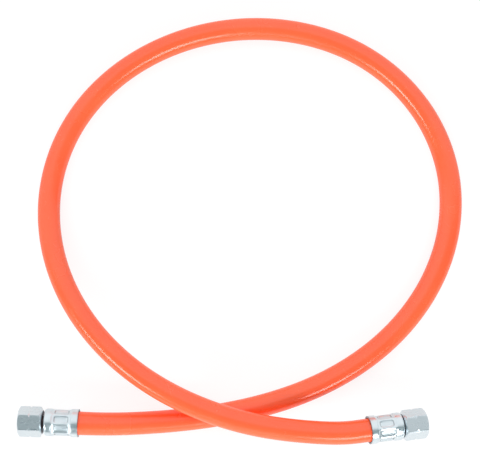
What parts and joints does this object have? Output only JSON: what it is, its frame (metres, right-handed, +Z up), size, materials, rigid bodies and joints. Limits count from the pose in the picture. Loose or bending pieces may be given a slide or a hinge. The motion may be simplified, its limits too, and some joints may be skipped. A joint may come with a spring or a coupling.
{
  "type": "flexible gas hose",
  "caption": "Flexible rubber gas hose lying in one loop, with a crimped ferrule and a free-turning left-hand hexagon union nut at each end.",
  "frame": {"origin": "on the floor that the hose lies on, midway between the outer ends of the two end fittings", "axes": "+X from the left fitting towards the right fitting, +Y from the fittings towards the far side of the loop, +Z up"},
  "size_m": [0.2861, 0.2774, 0.0292],
  "materials": {
    "hose_rubber": "smooth orange rubber, slightly glossy",
    "zinc_ferrule": "bright zinc-plated pressed steel",
    "zinc_nut": "satin zinc-plated turned steel",
    "brass_tail": "turned brass"
  },
  "bodies": {
    "hose_assembly": {"hose": "hose_rubber", "ferrule_left": "zinc_ferrule", "hose_tail_left": "brass_tail", "ferrule_right": "zinc_ferrule", "hose_tail_right": "brass_tail"},
    "nut_left": {"union_nut_left": "zinc_nut"},
    "nut_right": {"union_nut_right": "zinc_nut"}
  },
  "joints": [
    {"name": "left_nut_turn", "type": "hinge", "parent": "hose_assembly", "child": "nut_left", "pos_m": [-0.12303, 0.00192, 0.009], "axis": [-0.9995, 0.0332, 0], "continuous": true},
    {"name": "right_nut_turn", "type": "hinge", "parent": "hose_assembly", "child": "nut_right", "pos_m": [0.12176, 0.0003, 0.01011], "axis": [0.9771, 0.1096, -0.1822], "continuous": true}
  ]
}
